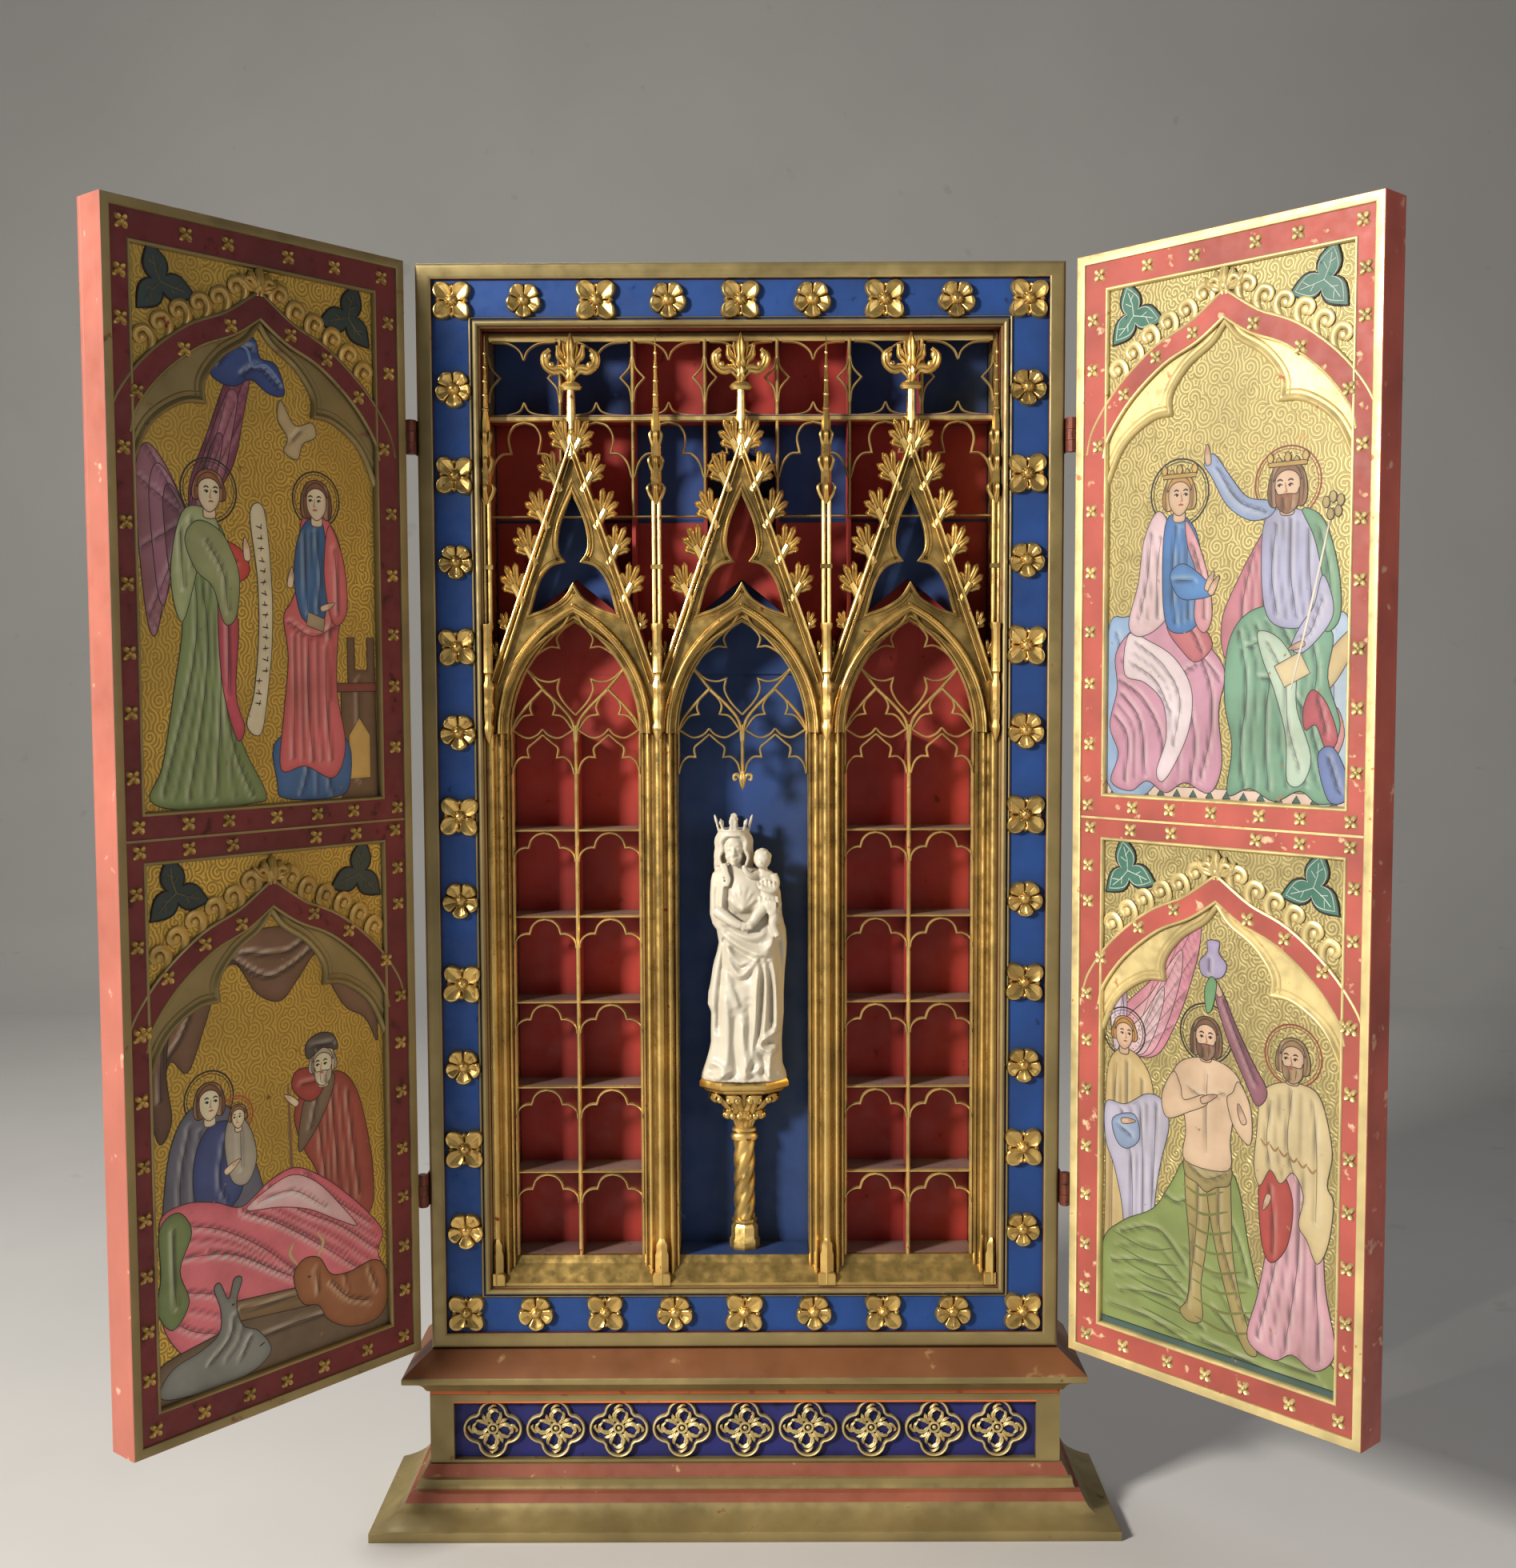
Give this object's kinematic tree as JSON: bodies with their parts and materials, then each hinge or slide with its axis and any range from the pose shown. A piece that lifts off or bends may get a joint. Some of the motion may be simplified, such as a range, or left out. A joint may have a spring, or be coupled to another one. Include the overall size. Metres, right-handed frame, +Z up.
{
  "type": "winged altarpiece",
  "caption": "Gothic winged altarpiece: a carved gilt cabinet with arcaded compartments, a niche statue on a bracket and hinged painted wings, on a moulded base.",
  "frame": {"origin": "on the underside of the plinth, midway between its ends and in the plane of the cabinet's front", "axes": "+Z up, -Y towards the viewer in front, +X to the viewer's right"},
  "size_m": [1.0748, 0.3501, 1.207],
  "materials": {
    "dull_gilt": "worn water gilding on wood, dull and olive in shade",
    "gilt": "bright water gilding over red bole",
    "blue_paint": "matt blue tempera on wood",
    "red_paint": "matt red tempera on wood",
    "mauve_paint": "matt mauve-brown paint on wood",
    "wood": "plain stained timber",
    "ivory": "ivory-white, satin",
    "hinge_metal": "red-brown painted iron"
  },
  "bodies": {
    "cabinet": {"plinth": "dull_gilt", "ledge": "dull_gilt", "frieze_left_end": "dull_gilt", "frieze_right_end": "dull_gilt", "frieze_front": "gilt", "frieze_back": "wood", "case_left_side": "red_paint", "case_right_side": "red_paint", "case_bottom": "wood", "case_top": "red_paint", "case_back": "wood", "frame_left": "blue_paint", "frame_right": "blue_paint", "frame_bottom": "blue_paint", "frame_top": "blue_paint", "niche_back": "blue_paint", "niche_sill": "gilt", "pier_left": "gilt", "pier_right": "gilt", "jamb_left": "gilt", "jamb_right": "gilt", "shelf_left_1": "mauve_paint", "shelf_left_2": "mauve_paint", "shelf_left_3": "mauve_paint", "shelf_left_4": "mauve_paint", "shelf_left_5": "mauve_paint", "partition_left": "red_paint", "lattice_left": "gilt", "shelf_right_1": "mauve_paint", "shelf_right_2": "mauve_paint", "shelf_right_3": "mauve_paint", "shelf_right_4": "mauve_paint", "shelf_right_5": "mauve_paint", "partition_right": "red_paint", "lattice_right": "gilt", "tracery_left": "gilt", "gable_left": "gilt", "tracery_centre": "gilt", "gable_centre": "gilt", "tracery_right": "gilt", "gable_right": "gilt", "gallery_screen": "gilt", "gallery_boxes": "red_paint", "bracket": "gilt", "statue": "ivory", "left_lower_hinge_case": "hinge_metal", "left_upper_hinge_case": "hinge_metal", "right_lower_hinge_case": "hinge_metal", "right_upper_hinge_case": "hinge_metal"},
    "left_wing": {"left_wing": "red_paint", "left_lower_hinge_wing": "hinge_metal", "left_upper_hinge_wing": "hinge_metal"},
    "right_wing": {"right_wing": "red_paint", "right_lower_hinge_wing": "hinge_metal", "right_upper_hinge_wing": "hinge_metal"}
  },
  "joints": [
    {"name": "left_wing_hinge", "type": "hinge", "parent": "cabinet", "child": "left_wing", "pos_m": [-0.31, -0.003, 0.167], "axis": [0, 0, -1], "range_deg": [-129.2, 50.8]},
    {"name": "right_wing_hinge", "type": "hinge", "parent": "cabinet", "child": "right_wing", "pos_m": [0.31, -0.003, 0.167], "axis": [0, 0, 1], "range_deg": [-132.3, 47.7]}
  ]
}
